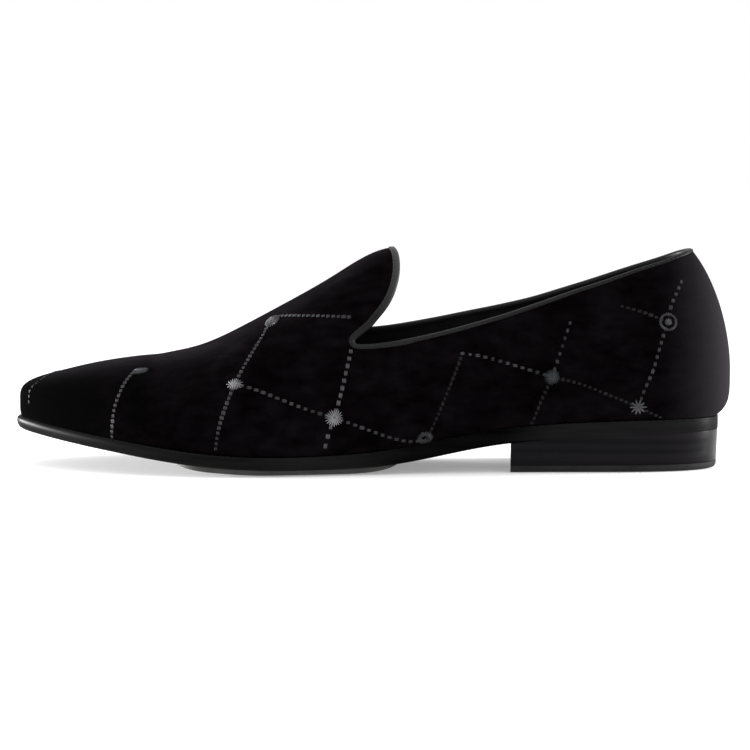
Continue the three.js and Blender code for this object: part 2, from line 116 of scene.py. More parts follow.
def column(name, otherSide=None):  # a smooth curve through the rows, which run back past both ends
    rows = lastRows[name]
    mirror = lastRows[otherSide or name]
    full = np.array(mirror[4:0:-1] + rows + mirror[-2:-6:-1], float)
    control = full.copy()
    control[1:-1] -= (full[:-2] - 2 * full[1:-1] + full[2:]) / 6

    def valueAt(place):
        place = np.asarray(place, float)
        row = np.floor(place).astype(int)
        t = place - row
        near = control[row + 4] * (3 * t**3 - 6 * t**2 + 4)
        far = control[row + 5] * (-3 * t**3 + 3 * t**2 + 3 * t + 1)
        return (control[row + 3] * (1 - t) ** 3 + near + far + control[row + 6] * t**3) / 6

    return valueAt


share = {name: column(name) for name in lastRows}
share["outer"] = column("lateral", "medial")
share["inner"] = column("medial", "lateral")


def lengthAt(place):
    return soleBack + (soleTip - soleBack) * share["at"](place)


placeTable = np.linspace(0, lastRow, 12001)
lengthTable = np.maximum.accumulate(lengthAt(placeTable))


def placeOf(x):
    return np.interp(x, lengthTable, placeTable)


def undersideAt(place):
    rise = last["heelLift"] * share["lift"](place) + last["toeSpring"] * share["spring"](place)
    return last["treadDepth"] - last["treadFlat"] + rise


def soleTopAt(place):
    return undersideAt(place) + last["soleThickness"] * share["sole"](place)


def crownAt(place):
    return last["instepRise"] * share["instep"](place) + last["collarRise"] * share["ankle"](place)


def outlineAt(place, side, inset):  # the sole's outline in plan, and the way out from it
    def plan(at):
        across = np.where(side > 0, share["outer"](at), share["inner"](at))
        return np.stack([lengthAt(at), last["ballWidth"] * across], -1)

    tangent = plan(place + 0.01) - plan(place - 0.01)
    tangent /= np.linalg.norm(tangent, axis=-1, keepdims=True)
    outward = np.stack([-tangent[..., 1], tangent[..., 0]], -1) * np.asarray(side)[..., None]
    return plan(place) - outward * np.asarray(inset)[..., None], outward


def spineAt(x):  # the line down the middle, which stops short of heel and toe
    toe = np.maximum(0, (x - soleTip) / (2 * last["toeCentre"]) + 1)
    heel = np.maximum(0, (soleBack - x) / (2 * last["heelCentre"]) + 1)
    along = x - last["toeCentre"] * toe**2 + last["heelCentre"] * heel**2
    return np.stack([along, last["ballWidth"] * share["spine"](placeOf(along))], -1)


# Turn runs from -1 at the sole through 0 at the widest line to 1 at the crown.
def wallPoint(place, side, turn, inset=0.0):
    place, side, turn = np.broadcast_arrays(np.asarray(place, float), side, turn)
    plan, outward = outlineAt(place, side, last["weltMargin"] * share["margin"](place) + inset)
    bulge = last["counterOverhang"] * share["bulge"](place)
    plan = plan + outward * (bulge * (1 - np.clip(-turn, 0, 1) ** last["tuck"]))[..., None]
    angle = np.clip(turn, 0, 1) * math.pi / 2
    cosine = np.cos(angle).clip(0)
    sine = np.sin(angle)
    fullness = share["fullness"](place)
    reach = (cosine**fullness + sine**fullness) ** (-1 / fullness)
    plan = plan + (spineAt(lengthAt(place)) - plan) * (1 - reach * cosine)[..., None]
    widest = share["widest"](place)
    level = np.where(turn > 0, widest + (1 - widest) * reach * sine, widest * (1 + turn))
    here = placeOf(plan[..., 0])
    height = soleTopAt(here) + last["gap"] + (crownAt(here) - inset) * level
    return np.concatenate([plan, height[..., None]], -1)


def unit(vectors):
    return vectors / np.maximum(np.linalg.norm(vectors, axis=-1, keepdims=True), tiny)


probe = {"place": 0.03, "turn": 0.006}  # how far apart the wall's slope is taken


def wallNormal(place, side, turn):
    ahead = wallPoint(place + probe["place"], side, turn)
    behind = wallPoint(place - probe["place"], side, turn)
    high = wallPoint(place, side, np.minimum(turn + probe["turn"], 1))
    low = wallPoint(place, side, np.maximum(turn - probe["turn"], -1))
    return unit(np.cross(high - low, ahead - behind) * np.asarray(side)[..., None])


def smoothPath(points, steps):  # an even-tempered curve through all the points
    points = np.array(points, float)
    ends = np.vstack([2 * points[0] - points[1], points, 2 * points[-1] - points[-2]])
    pieces = []
    for i in range(1, len(ends) - 2):
        p = ends[i - 1 : i + 3]
        strides = np.sqrt(np.linalg.norm(np.diff(p, axis=0), axis=1))
        knots = np.concatenate([[0], np.cumsum(strides)])
        t = np.linspace(knots[1], knots[2], steps, endpoint=False)[:, None]

        def mix(a, b, low, high):
            span = knots[high] - knots[low]
            return (knots[high] - t) / span * a + (t - knots[low]) / span * b

        first = mix(p[0], p[1], 0, 1)
        second = mix(p[1], p[2], 1, 2)
        third = mix(p[2], p[3], 2, 3)
        pieces.append(mix(mix(first, second, 0, 2), mix(second, third, 1, 3), 1, 2))
    pieces.append(points[-1:])
    return np.vstack(pieces)


opening = {  # mm
    "collarLength": 157.4,
    "collarRise": 70.4,
    "notchRise": 32,
    "medialLift": 4.2,
    "notchRadius": 0.8,
    "notchTurn": (-75, -35, 0, 40),  # degrees
    "tongueLength": 18.6,
    "backRun": 14,  # how far the line runs on behind the heel
    "sideLine": 31.62,  # the two sides' heights are taken here
    "pathSteps": 6,
}
toplineRows = {
    "at": [0.051, 0.112, 0.183, 0.267, 0.352, 0.439, 0.524,
           0.609, 0.695, 0.782, 0.867, 0.924, 0.98],
    "outer": [1.05, 0.99, 0.885, 0.78, 0.662, 0.546, 0.424,
              0.308, 0.208, 0.116, 0.044, 0.009, -0.006],
    "inner": [1.05, 0.99, 0.87, 0.742, 0.61, 0.484, 0.369,
              0.285, 0.213, 0.137, 0.066, 0.025, 0],
}
tongueRows = {
    "back": [0.11, 0.242, 0.386, 0.525, 0.662, 0.795, 0.884,
             0.96, 0.99, 0.994, 0.978, 0.942, 0.89, 0.8],
    "up": [0.077, 0.127, 0.183, 0.263, 0.342, 0.44, 0.533,
           0.656, 0.75, 0.84, 0.92, 0.975, 1.01, 1.2],
}


def openingPath(side):  # the opening's edge seen from one side
    seat = soleTopAt(placeOf(soleBack))
    notchX = opening["collarLength"] - last["shoeLength"] / 2
    notchZ = seat + opening["notchRise"] + (opening["medialLift"] if side < 0 else 0)
    backRise = seat + opening["collarRise"] - notchZ
    tongueEnd = placeOf(notchX - opening["tongueLength"])
    tongueRise = crownAt(tongueEnd) + soleTopAt(tongueEnd) - notchZ
    heights = toplineRows["outer" if side > 0 else "inner"]
    path = [
        (at * opening["collarLength"] - last["shoeLength"] / 2, notchZ + backRise * height)
        for at, height in zip(toplineRows["at"], heights)
    ]
    path.insert(0, (path[0][0] - opening["backRun"], path[0][1]))
    radius = opening["notchRadius"]
    for degrees in opening["notchTurn"]:
        angle = math.radians(degrees)
        out, up = radius * math.cos(angle), radius * math.sin(angle)
        path.append((notchX - radius + out, notchZ + radius + up))
    for back, up in zip(tongueRows["back"], tongueRows["up"]):
        path.append((notchX - back * opening["tongueLength"], notchZ + up * tongueRise))
    return smoothPath(path, opening["pathSteps"])


outerPath = openingPath(1)
innerPath = openingPath(-1)


def openingLevel(points):  # mm to the opening's edge, above zero inside the opening
    x, y, z = points[..., 0], points[..., 1], points[..., 2]
    blend = np.clip((y / opening["sideLine"] + 1) / 2, 0, 1)
    nearest = np.full(x.shape, farAway)
    over = x < outerPath[-1, 0]

    def edgePoint(i):  # between the inner side's edge and the outer side's
        return [inner + (outer - inner) * blend for inner, outer in zip(innerPath[i], outerPath[i])]

    for i in range(len(outerPath) - 1):
        (aX, aZ), (bX, bZ) = edgePoint(i), edgePoint(i + 1)
        dX, dZ = bX - aX, bZ - aZ
        t = np.clip(((x - aX) * dX + (z - aZ) * dZ) / np.maximum(dX**2 + dZ**2, tiny), 0, 1)
        nearest = np.minimum(nearest, (x - aX - t * dX) ** 2 + (z - aZ - t * dZ) ** 2)
        crossZ = aZ + (x - aX) * dZ / np.where(np.abs(dX) > tiny, dX, tiny)
        over = over ^ (((aX > x) != (bX > x)) & (crossZ > z))
    return np.where(over, 1, -1) * np.sqrt(nearest)


def wallGrid(place, side, turn):  # the place, side and turn of each point, row by row
    turns, places = np.meshgrid(turn, place, indexing="ij")
    return np.stack([places, np.broadcast_to(side, places.shape), turns], -1).reshape(-1, 3)


def gridFaces(rows, columns, closed=True):
    across = np.arange(columns if closed else columns - 1)
    r, c = np.meshgrid(np.arange(rows - 1), across, indexing="ij")
    d = (c + 1) % columns
    cells = [r * columns + c, (r + 1) * columns + c, (r + 1) * columns + d, r * columns + d]
    return np.stack(cells, -1).reshape(-1, 4)


def cornerPairs(face):
    return [(start, face[(i + 1) % len(face)]) for i, start in enumerate(face)]


# The wall's grid outside the opening's edge moved down by a depth, and the pairs of cut marks.
def clipGrid(place, side, turn, depth, closed):
    params = wallGrid(place, side, turn)

    def isWall(at):
        return openingLevel(wallPoint(*at.T)) + depth < 0

    inside = isWall(params)
    cells = gridFaces(len(turn), len(place), closed)
    kept = inside[cells].sum(1)
    faces = cells[kept == 4].tolist()
    mixed = cells[(kept > 0) & (kept < 4)].tolist()
    crossings = {}
    for cell in mixed:
        for a, b in cornerPairs(cell):
            if inside[a] != inside[b]:
                crossings.setdefault((min(a, b), max(a, b)), len(params) + len(crossings))
    starts, ends = np.array(list(crossings)).T
    low, high = np.zeros(len(starts)), np.ones(len(starts))

    def between(t):
        at = params[starts] + (params[ends] - params[starts]) * t[:, None]
        at[:, 1] = np.minimum(params[starts, 1], params[ends, 1])
        return at

    for _ in range(16):  # halves the span round each crossing
        middle = (low + high) / 2
        same = isWall(between(middle)) == inside[starts]
        low = np.where(same, middle, low)
        high = np.where(same, high, middle)
    params = np.vstack([params, between((low + high) / 2)])
    cut = []
    for cell in mixed:
        polygon, marks = [], []
        for a, b in cornerPairs(cell):
            if inside[a]:
                polygon.append(a)
            if inside[a] != inside[b]:
                mark = crossings[(min(a, b), max(a, b))]
                polygon.append(mark)
                marks.append(mark)
        faces.append(polygon)
        cut.append(marks[:2])
    return params, faces, cut


def weld(mesh, distance):
    work = bmesh.new()
    work.from_mesh(mesh)
    bmesh.ops.remove_doubles(work, verts=work.verts, dist=distance)
    bmesh.ops.dissolve_degenerate(work, edges=work.edges, dist=distance / 4)
    loose = [v for v in work.verts if not v.link_faces]
    bmesh.ops.delete(work, geom=loose, context="VERTS")
    if work.calc_volume(signed=True) < 0:
        bmesh.ops.reverse_faces(work, faces=work.faces)
    work.to_mesh(mesh)
    work.free()


def inFrame(points):  # from mm on the last to m in the solids' frame
    return ((np.asarray(points) + np.array(last["toFrame"])) / 1000).tolist()


def addObject(name, data):
    thing = bpy.data.objects.new(name, data)
    scene.collection.objects.link(thing)
    return thing


def makePiece(name, points, faces, materials, zones=None, sharp=35):
    mesh = bpy.data.meshes.new(name)
    mesh.from_pydata(inFrame(points), [], [tuple(int(i) for i in face) for face in faces])
    for material in materials:
        mesh.materials.append(material)
    if zones is not None:
        mesh.polygons.foreach_set("material_index", np.asarray(zones, dtype=np.int32))
    weld(mesh, weldDistance)
    mesh.shade_smooth()
    mesh.set_sharp_from_angle(angle=math.radians(sharp))
    return addObject(name, mesh)


def addNode(tree, kind, inputs=None, **settings):
    node = tree.nodes.new(kind)
    for key, value in settings.items():
        setattr(node, key, value)
    for key, value in (inputs or {}).items():
        if isinstance(value, bpy.types.NodeSocket):
            tree.links.new(value, node.inputs[key])
        else:
            node.inputs[key].default_value = value
    return node


def addTo(socket, kind, inputs, output=0, **settings):  # in the tree that the socket belongs to
    return addNode(socket.id_data, kind, inputs, **settings).outputs[output]


def maths(operation, a, b=None):
    inputs = {0: a} if b is None else {0: a, 1: b}
    return addTo(a, "ShaderNodeMath", inputs, operation=operation)


def axisOf(vector, axis):
    return addTo(vector, "ShaderNodeSeparateXYZ", {0: vector}, axis)


def newFinish(name, base, roughness, **shader):
    material = bpy.data.materials.new(name)
    material.use_nodes = True
    tree = material.node_tree
    surface = tree.nodes["Principled BSDF"]
    surface.inputs["Base Color"].default_value = (*base, 1)
    surface.inputs["Roughness"].default_value = roughness
    for key, value in shader.items():
        surface.inputs[key.replace("_", " ")].default_value = value
    spot = addNode(tree, "ShaderNodeTexCoord").outputs["Object"]
    return material, surface, spot


def wire(surface, **sockets):
    for key, value in sockets.items():
        surface.id_data.links.new(value, surface.inputs[key.replace("_", " ")])


def noise(spot, size, detail=2.0, stretch=(1, 1, 1), roughness=0.5):  # size in mm
    moved = addTo(spot, "ShaderNodeMapping", {"Vector": spot, "Scale": stretch})
    inputs = {"Vector": moved, "Scale": 1000 / size, "Detail": detail, "Roughness": roughness}
    return addTo(spot, "ShaderNodeTexNoise", inputs, "Fac")


def spread(value, low, high, fromLow=0.3, fromHigh=0.7):
    inputs = {"Value": value, "From Min": fromLow, "From Max": fromHigh}
    inputs.update({"To Min": low, "To Max": high})
    return addTo(value, "ShaderNodeMapRange", inputs)


def tint(value, dark, light):
    node = addNode(value.id_data, "ShaderNodeMix", data_type="RGBA")
    value.id_data.links.new(value, node.inputs["Factor"])
    colours = [socket for socket in node.inputs if socket.type == "RGBA"]
    for socket, colour in zip(colours, (dark, light)):
        if isinstance(colour, bpy.types.NodeSocket):
            value.id_data.links.new(colour, socket)
        else:
            socket.default_value = (*colour, 1)
    return next(socket for socket in node.outputs if socket.type == "RGBA")


def bump(height, depth, strength=1.0, under=None):  # depth in mm
    inputs = {"Height": height, "Strength": strength, "Distance": depth / 1000}
    if under is not None:
        inputs["Normal"] = under
    return addTo(height, "ShaderNodeBump", inputs)


velvet = {
    "pile": (0.0011, 0.0008, 0.00095),
    "brushed": (0.0042, 0.0031, 0.004),
    "heel": (0.027, 0.0245, 0.028),  # painted sheen, lighter round the counter where the back light falls
    "heelSheenReach": (-0.114, -0.15),  # m, along the shoe
    # painted shade: the velvet over the toe cap is darker
    "toe": (0.0009, 0.0009, 0.0009),
    "toeShadeReach": (0.07, 0.125),
    "sheen": 0.012,
    "sheenRoughness": 0.36,
    "sheenTint": (0.86, 0.8, 0.88, 1),
    "patch": 16,  # mm
    "lay": 4.5,
    "nap": 0.45,
}


def velvetFinish():
    material, surface, spot = newFinish(
        "black_velvet", velvet["pile"], 0.9, Specular_IOR_Level=0.0, Sheen_Weight=velvet["sheen"],
        Sheen_Roughness=velvet["sheenRoughness"], Sheen_Tint=velvet["sheenTint"],
    )
    patches = noise(spot, velvet["patch"], 4, (1, 1, 0.7))
    nap = noise(spot, velvet["nap"], 3, (0.6, 1, 1), 0.65)
    lay = noise(spot, velvet["lay"], 3, (0.5, 1, 1))
    length = axisOf(spot, "X")
    # painted sheen: the velvet is made lighter round the heel counter, where the back light falls
    heelSheen = spread(length, 0, 1, *velvet["heelSheenReach"])
    # painted shade: darker velvet towards the toe
    toe = spread(length, 0, 1, *velvet["toeShadeReach"])
    shade = spread(maths("MULTIPLY", patches, lay), 0, 1, 0.14, 0.42)
    colour = tint(shade, velvet["pile"], velvet["brushed"])
    colour = tint(toe, colour, velvet["toe"])
    # the painted sheen is laid over the velvet's colour towards the heel
    colour = tint(maths("MULTIPLY", heelSheen, heelSheen), colour, velvet["heel"])
    pile = bump(nap, 0.16, 0.7, bump(lay, 0.25, 0.35))
    wire(surface, Base_Color=colour, Roughness=spread(nap, 0.8, 1), Normal=pile)
    return material


leathers = {  # dark and light, roughness, size of the grain in mm, gloss
    "satin_binding": ((0.008, 0.008, 0.0083), (0.013, 0.013, 0.0134), 0.42, 0.55, 0.1),
    "black_lining": ((0.005, 0.005, 0.005), (0.01, 0.0096, 0.0093), 0.5, 0.8, 0.15),
    "black_sock": ((0.006, 0.006, 0.006), (0.012, 0.0115, 0.011), 0.46, 0.9, 0.2),
}
bindingShade = {  # painted highlight round the tongue's end, and painted shade darker towards the heel
    "tongueEnd": (-0.011, 0, 0.088),  # m
    "near": (0.018, 0.042),
    "far": (0.075, 0.125),
    "paintedHighlight": (0.032, 0.032, 0.0325),
    # painted shade towards the heel
    "dark": (0.002, 0.002, 0.0021),
}


def leatherFinish(name, shades=None):
    base, light, roughness, grain, gloss = leathers[name]
    material, surface, spot = newFinish(name, base, roughness, Specular_IOR_Level=gloss)
    cells = addTo(spot, "ShaderNodeTexVoronoi", {"Vector": spot, "Scale": 1000 / grain})
    fine = noise(spot, grain * 0.6, 3)
    clouds = noise(spot, 14, 3)
    colour = tint(spread(clouds, 0, 1), base, light)
    if shades:
        # painted highlight near the tongue's end and painted shade towards the heel
        inputs = {0: spot, 1: shades["tongueEnd"]}
        away = addTo(spot, "ShaderNodeVectorMath", inputs, "Value", operation="DISTANCE")
        colour = tint(spread(away, 1, 0, *shades["near"]), colour, shades["paintedHighlight"])
        colour = tint(spread(away, 0, 1, *shades["far"]), colour, shades["dark"])
    pores = bump(fine, 0.05, 0.6, bump(cells, 0.08, 0.5))
    uneven = spread(clouds, roughness - 0.05, roughness + 0.07)
    wire(surface, Base_Color=colour, Roughness=uneven, Normal=pores)
    return material


soleEdge = {
    "dark": (0.0008, 0.0008, 0.0008),
    "light": (0.0034, 0.0034, 0.0035),
    "wax": 0.16,  # how much polish the edge carries
    "waistShadeWax": 0.012,
    "waistShade": -0.034,  # m, where the coat is thinnest, as painted shade on the edge under the arch
    "waistShadeReach": (0.018, 0.04),
}


def soleEdgeFinish():
    material, surface, spot = newFinish(
        "waxed_sole_edge", (0.002, 0.002, 0.0021), 0.5, Specular_IOR_Level=0.0, Coat_Roughness=0.38
    )
    streaks = noise(spot, 9, 4, (0.25, 0.25, 2.2))
    fine = noise(spot, 0.7, 2, (0.2, 0.2, 1.6))
    away = maths("ABSOLUTE", maths("SUBTRACT", axisOf(spot, "X"), soleEdge["waistShade"]))
    # painted shade: the coat is thinned at the waist so the edge reads darker there
    polish = spread(away, soleEdge["waistShadeWax"], soleEdge["wax"], *soleEdge["waistShadeReach"])
    wax = maths("MULTIPLY", polish, spread(streaks, 0.85, 1.1))
    colour = tint(spread(streaks, 0, 1), soleEdge["dark"], soleEdge["light"])
    grain = bump(fine, 0.04, 0.5, bump(streaks, 0.25, 0.35))
    wire(surface, Base_Color=colour, Coat_Weight=wax, Normal=grain, Coat_Normal=grain)
    return material


def soleBottomFinish():
    material, surface, spot = newFinish(
        "black_sole_leather", (0.012, 0.012, 0.012), 0.5, Specular_IOR_Level=0.2
    )
    clouds = spread(noise(spot, 22, 4), 0, 1)
    scuffs = noise(spot, 5, 2, (0.12, 1.4, 1))
    fibres = noise(spot, 0.8, 3, (0.35, 1, 1))
    colour = tint(clouds, (0.009, 0.009, 0.009), (0.02, 0.0195, 0.019))
    worn = spread(scuffs, 0.42, 0.62)
    wire(surface, Base_Color=colour, Roughness=worn, Normal=bump(fibres, 0.06, 0.6))
    return material


def stackFinish():  # the heel's layers of leather, dyed and waxed
    material, surface, spot = newFinish(
        "stacked_heel", (0.003, 0.003, 0.0032), 0.34, Specular_IOR_Level=0.07
    )
    layers = noise(spot, 3.1, 1, (0.02, 0.02, 1))
    grain = noise(spot, 0.5, 3, (0.06, 0.06, 1))
    polish = spread(noise(spot, 18, 3), 0.27, 0.42)
    shade = spread(layers, 0, 1)
    colour = tint(shade, (0.0014, 0.0011, 0.0015), (0.0062, 0.005, 0.0066))
    ridges = bump(grain, 0.05, 0.6, bump(layers, 0.07, 0.5))
    wire(surface, Base_Color=colour, Roughness=polish, Normal=ridges)
    return material


def rubberFinish(name, base, light, pitch=None):  # a pitch in mm gives studs
    material, surface, spot = newFinish(name, base, 0.72, Specular_IOR_Level=0.16)
    clouds = noise(spot, 9, 3)
    grit = noise(spot, 0.5, 3)
    studs = None
    if pitch:
        diagonal = {"Vector": spot, "Rotation": (0, 0, math.radians(45))}
        turned = addTo(spot, "ShaderNodeMapping", diagonal)
        rate = 2000 * math.pi / pitch
        waves = [maths("SINE", maths("MULTIPLY", axisOf(turned, axis), rate)) for axis in "XY"]
        domes = spread(maths("MULTIPLY", *waves), 0, 1, 0.1, 0.5)
        studs = bump(domes, 0.35, 0.7)
    colour = tint(spread(clouds, 0, 1), base, light)
    rough = spread(grit, 0.62, 0.85)
    gritty = bump(grit, 0.06, 0.6, studs)
    wire(surface, Base_Color=colour, Roughness=rough, Normal=gritty)
    return material


threads = {  # dark and light, roughness, how metallic, size of the ply in mm
    "grey": ((0.036, 0.036, 0.038), (0.092, 0.092, 0.0965), 0.55, 0.1, 0.25),
    "dull_grey": ((0.016, 0.016, 0.0167), (0.05, 0.05, 0.0525), 0.55, 0.1, 0.25),
    "faint": ((0.005, 0.005, 0.0053), (0.016, 0.016, 0.0168), 0.55, 0.1, 0.25),
    "silver": ((0.09, 0.09, 0.094), (0.27, 0.27, 0.283), 0.48, 0.3, 0.25),
    "pewter": ((0.032, 0.032, 0.034), (0.08, 0.08, 0.084), 0.5, 0.2, 0.25),
    "slate": ((0.028, 0.03, 0.034), (0.062, 0.066, 0.076), 0.5, 0.2, 0.25),
    "black": ((0.006, 0.006, 0.0063), (0.013, 0.013, 0.0136), 0.55, 0, 0.2),
}


def threadFinish(name):
    base, light, roughness, metallic, ply = threads[name]
    material, surface, spot = newFinish(
        name + "_thread", base, roughness, Metallic=metallic, Specular_IOR_Level=0.12
    )
    colour = tint(spread(noise(spot, 9, 3), 0, 1), base, light)
    wire(surface, Base_Color=colour, Normal=bump(noise(spot, ply), 0.08, 0.9))
    return material


finishes = {
    "velvet": velvetFinish(),
    "binding": leatherFinish("satin_binding", bindingShade),
    "lining": leatherFinish("black_lining"),
    "sock": leatherFinish("black_sock"),
    "soleEdge": soleEdgeFinish(),
    "soleBottom": soleBottomFinish(),
    "stack": stackFinish(),
    "treadSide": rubberFinish("forefoot_rubber", (0.065, 0.064, 0.063), (0.1, 0.098, 0.096)),
    "liftSide": rubberFinish("heel_rubber", (0.009, 0.009, 0.0093), (0.015, 0.015, 0.0155)),
    "studs": rubberFinish("studded_rubber", (0.014, 0.014, 0.0142), (0.024, 0.024, 0.0245), 2.6),
}
finishes.update({name: threadFinish(name) for name in threads})
print("finishes made")

upper = {
    "stepsPerSection": 12,
    "velvetThickness": 1.3,  # mm, of the wall
    "edgeDepth": 0.85,  # how far below the opening's edge the wall ends, inside the binding
    "creaseSteps": 10,
}
upperLining = {"stepsPerSection": 8, "gap": 0.02}
turnRows = np.concatenate(
    [[-1, -0.985, -0.96, -0.92, -0.86, -0.78, -0.66, -0.5, -0.32, -0.15], np.linspace(0, 1, 56)]
)
creases = [  # soft forms pressed into the wall: width and depth in mm, and points near the surface
    (5, 0.3, [(92, 38, 14), (90, 30, 36), (90, -6, 44), (90, -38, 34), (92, -48, 14)]),
    (6, 0.35, [(-70, 34, 18), (-78, 32, 44), (-84, 29, 62)]),
    (6, 0.35, [(-70, -31, 18), (-78, -30, 44), (-84, -28, 62)]),
    (7, 0.4, [(54, 48, 16), (46, 42, 38), (38, 24, 58)]),
    (6, -0.3, [(36, 50, 14), (28, 46, 34), (22, 36, 54)]),
    (7, 0.4, [(66, -50, 16), (58, -42, 36), (48, -22, 54)]),
    (6, -0.3, [(46, -44, 16), (38, -38, 36), (28, -24, 58)]),
    (8, 0.35, [(-8, 40, 18), (-22, 37, 30), (-44, 34, 40)]),
    (8, 0.35, [(0, -30, 22), (-20, -28, 34), (-42, -28, 44)]),
    (1.1, 0.35, [(-150, 0, 24), (-151, 0, 44), (-149, 0, 66), (-144, 0, 84)]),
]


def ringOf(stepsPerSection):
    outer = np.arange(lastRow * stepsPerSection + 1) / stepsPerSection
    place = np.concatenate([outer, outer[-2:0:-1]])
    side = np.concatenate([np.ones(len(outer)), -np.ones(len(outer) - 2)])
    return place, side


def treeOf(points, faces):
    return BVHTree.FromPolygons([Vector(p) for p in points.tolist()], faces)


def nearestOn(tree, points):  # the nearest spots on a surface, and its normals there
    found = [tree.find_nearest(Vector(p)) for p in points]
    return [np.array([hit[k][:] for hit in found]) for k in (0, 1)]


ringPlace, ringSide = ringOf(upper["stepsPerSection"])
wholeParams = wallGrid(ringPlace, ringSide, turnRows)
wholePoints = wallPoint(*wholeParams.T)
wholeFaces = gridFaces(len(turnRows), len(ringPlace)).tolist()
plainTree = treeOf(wholePoints, wholeFaces)
creases = [
    (width, depth, nearestOn(plainTree, smoothPath(points, upper["creaseSteps"]))[0])
    for width, depth, points in creases
]


def pressed(points, normals):  # how far the soft forms move each point, along the wall's normal
    amount = np.zeros(len(points))
    for width, depth, path in creases:
        nearest = np.full(len(points), farAway)
        along = np.zeros(len(points))
        for i in range(len(path) - 1):
            step = path[i + 1] - path[i]
            t = np.clip((points - path[i]) @ step / max(step @ step, tiny), 0, 1)
            distance = np.linalg.norm(points - path[i] - t[:, None] * step, axis=1)
            along = np.where(distance < nearest, (i + t) / (len(path) - 1), along)
            nearest = np.minimum(nearest, distance)
        fade = np.clip(4 * along, 0, 1) * np.clip(4 * (1 - along), 0, 1)
        amount -= depth * np.exp(-((nearest / width) ** 2)) * fade
    return normals * amount[:, None]


def shell(name, params, faces, insets, materials):
    place, side, turn = params.T
    moved = pressed(wallPoint(place, side, turn), wallNormal(place, side, turn))
    count = len(params)
    walls = [wallPoint(place, side, turn, inset) + moved for inset in insets]
    used = dict.fromkeys(pair for face in faces for pair in cornerPairs(face))
    onRidge = turn > 1 - tiny
    rims = [
        (b, a, a + count, b + count)
        for a, b in used
        if (b, a) not in used and not (onRidge[a] and onRidge[b])
    ]
    inside = [[i + count for i in reversed(face)] for face in faces]
    return makePiece(name, np.vstack(walls), faces + inside + rims, materials, sharp=60)


params, faces, _ = clipGrid(ringPlace, ringSide, turnRows, upper["edgeDepth"], True)
wallEnd = upper["velvetThickness"]
velvetShell = shell("velvet_upper", params, faces, (0, wallEnd), [finishes["velvet"]])
liningTurns = np.append(turnRows[:-1:2], 1)
liningRing = ringOf(upperLining["stepsPerSection"])
params, faces, _ = clipGrid(*liningRing, liningTurns, upper["edgeDepth"], True)
liningInsets = (wallEnd + upperLining["gap"], last["wall"])
lining = shell("upper_lining", params, faces, liningInsets, [finishes["lining"]])
wallTree = treeOf(wholePoints + pressed(wholePoints, wallNormal(*wholeParams.T)), wholeFaces)
print("upper made", len(velvetShell.data.polygons), len(lining.data.polygons))

binding = {  # mm
    "depth": 2,
    "tongueDepth": 2.9,
    "tongueFrom": (48, 62),  # heights between which it widens
    "tongueBack": -16,
    "proud": 0.3,
    "slack": 0.03,
    "archDepth": 1.25,  # how far down its rounded top begins
    "archPoints": 11,
    "seatDepth": 0.75,  # where it sits on the wall's edge
    # Down its flank: share of proud and mm added to it, share of the depth and mm added to it.
    "flank": [(0, 0.03, 1, 0), (0.6, 0, 1, 0.02), (0.92, 0, 1, -0.1),
              (1, 0, 1, -0.28), (1, 0.02, 0.75, 0), (1, 0.03, 0.55, 0)],
    "spacing": 0.8,
    "turnStep": 7,  # degrees
    "blur": {"edge": 2, "outward": 10, "widening": 6, "lower": 6},  # passes
}
trace = {"sections": 9.4, "stepsPerSection": 40, "lowest": 0.02, "rows": 150, "leastStep": 1e-6}


def evenly(points, spacing, turnStep):  # stations closer together where the path turns
    lengths = np.linalg.norm(np.diff(points, axis=0), axis=1)
    points = points[np.concatenate([[True], lengths > trace["leastStep"]])]
    steps = np.diff(points, axis=0)
    lengths = np.linalg.norm(steps, axis=1)
    ways = steps / lengths[:, None]
    bends = np.degrees(np.arccos(np.clip((ways[1:] * ways[:-1]).sum(1), -1, 1)))
    cost = lengths / spacing
    cost[1:] += bends / turnStep / 2
    cost[:-1] += bends / turnStep / 2
    run = np.concatenate([[0], np.cumsum(cost)])
    at = np.linspace(0, run[-1], int(math.ceil(run[-1])) + 1)
    return np.stack([np.interp(at, run, points[:, k]) for k in range(3)], 1)


def blurred(values, passes):  # round a closed loop
    for _ in range(passes):
        values = (np.roll(values, 1, 0) + 2 * values + np.roll(values, -1, 0)) / 4
    return values


def openingLoop():
    half = np.arange(0, trace["sections"], 1 / trace["stepsPerSection"])
    place = np.concatenate([half[::-1], half[1:]])
    side = np.concatenate([np.ones(len(half)), -np.ones(len(half) - 1)])
    turns = np.linspace(trace["lowest"], 1, trace["rows"])
    params, _, cut = clipGrid(place, side, turns, 0, False)
    links = {}
    for a, b in cut:
        links.setdefault(a, []).append(b)
        links.setdefault(b, []).append(a)
    ends = [mark for mark, others in links.items() if len(others) == 1]
    chain = [max(ends, key=lambda mark: params[mark, 1])]  # from the outer side of the tongue
    before = None
    while True:
        ahead = [mark for mark in links[chain[-1]] if mark != before]
        if not ahead:
            break
        before = chain[-1]
        chain.append(ahead[0])
    return wallPoint(*params[chain].T)


